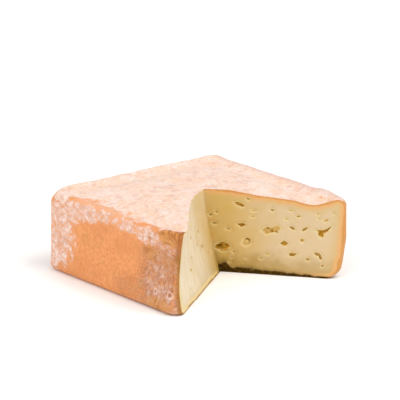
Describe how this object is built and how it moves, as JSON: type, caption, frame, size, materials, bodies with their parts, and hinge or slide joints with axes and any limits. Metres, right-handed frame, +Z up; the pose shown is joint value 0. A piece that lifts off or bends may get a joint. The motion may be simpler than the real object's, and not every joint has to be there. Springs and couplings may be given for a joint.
{
  "type": "maroilles cheese with a quarter cut out",
  "caption": "Square washed-rind soft cheese with an orange rind and a sunken top, with a quarter cut out down to its middle, showing cream paste with small eyes.",
  "frame": {"origin": "under the middle of the box round the cheese, on the surface that it rests on", "axes": "+Z up; X and Y run along the sides of the square; the side with the quarter cut out faces -Y"},
  "size_m": [0.134, 0.1318, 0.0517],
  "materials": {
    "rind": "dry washed rind, orange with a whitish bloom",
    "paste": "soft satin paste, cut with a knife"
  },
  "bodies": {
    "root": {"cheese": "rind"}
  },
  "joints": []
}
